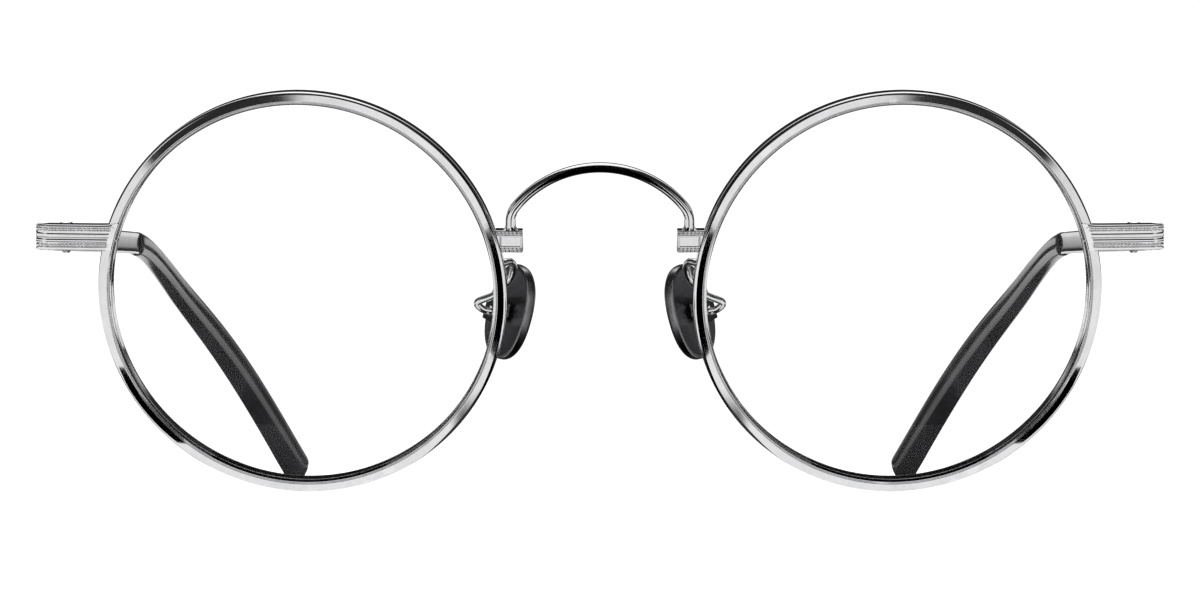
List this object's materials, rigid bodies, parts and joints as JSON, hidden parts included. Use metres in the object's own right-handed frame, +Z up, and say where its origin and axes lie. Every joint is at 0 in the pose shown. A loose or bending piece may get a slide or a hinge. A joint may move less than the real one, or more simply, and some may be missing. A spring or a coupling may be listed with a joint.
{
  "type": "round wire eyeglasses",
  "caption": "Round full-rim metal eyeglasses with clear lenses, a saddle bridge wire, folding temples with black acetate tips and rocking nose pads.",
  "frame": {"origin": "on the surface that the open glasses stand on, under the middle of their box", "axes": "the front faces -Y and the temples run back along +Y; +X is the wearer's left; +Z is up"},
  "size_m": [0.1326, 0.1496, 0.0468],
  "materials": {
    "silver": "polished silver-coloured metal",
    "steel": "small turned steel screws",
    "titanium": "satin titanium with a polished edge",
    "acetate": "polished black acetate",
    "lens": "clear demonstration lens, uncoated"
  },
  "bodies": {
    "front_frame": {"bridge": "silver", "rim_left": "silver", "lens_left": "lens", "bridge_lug_left": "silver", "end_piece_left": "silver", "rim_lock_upper_left": "silver", "rim_lock_lower_left": "silver", "rim_lock_screw_left": "steel", "hinge_front_left": "silver", "hinge_screw_left": "steel", "pad_arm_left": "silver", "pad_box_left": "silver", "pad_screw_left": "steel", "rim_right": "silver", "lens_right": "lens", "bridge_lug_right": "silver", "end_piece_right": "silver", "rim_lock_upper_right": "silver", "rim_lock_lower_right": "silver", "rim_lock_screw_right": "steel", "hinge_front_right": "silver", "hinge_screw_right": "steel", "pad_arm_right": "silver", "pad_box_right": "silver", "pad_screw_right": "steel"},
    "left_temple": {"temple_left": "silver", "temple_tip_left": "acetate", "hinge_rear_left": "silver"},
    "right_temple": {"temple_right": "silver", "temple_tip_right": "acetate", "hinge_rear_right": "silver"},
    "left_pad": {"nose_pad_left": "titanium"},
    "right_pad": {"nose_pad_right": "titanium"}
  },
  "joints": [
    {"name": "fold_left", "type": "hinge", "parent": "front_frame", "child": "left_temple", "pos_m": [0.0639, -0.06019, 0.03045], "axis": [0, -0.0546, 0.9985], "range_deg": [0, 85]},
    {"name": "fold_right", "type": "hinge", "parent": "front_frame", "child": "right_temple", "pos_m": [-0.0639, -0.06019, 0.03045], "axis": [0, 0.0546, -0.9985], "range_deg": [0, 78]},
    {"name": "pad_rock_left", "type": "hinge", "parent": "front_frame", "child": "left_pad", "pos_m": [0.01208, -0.06, 0.0216], "axis": [0.5947, 0.7127, 0.372], "range_deg": [-8, 8]},
    {"name": "pad_rock_right", "type": "hinge", "parent": "front_frame", "child": "right_pad", "pos_m": [-0.01208, -0.06, 0.0216], "axis": [0.5947, -0.7127, -0.372], "range_deg": [-8, 8]}
  ]
}
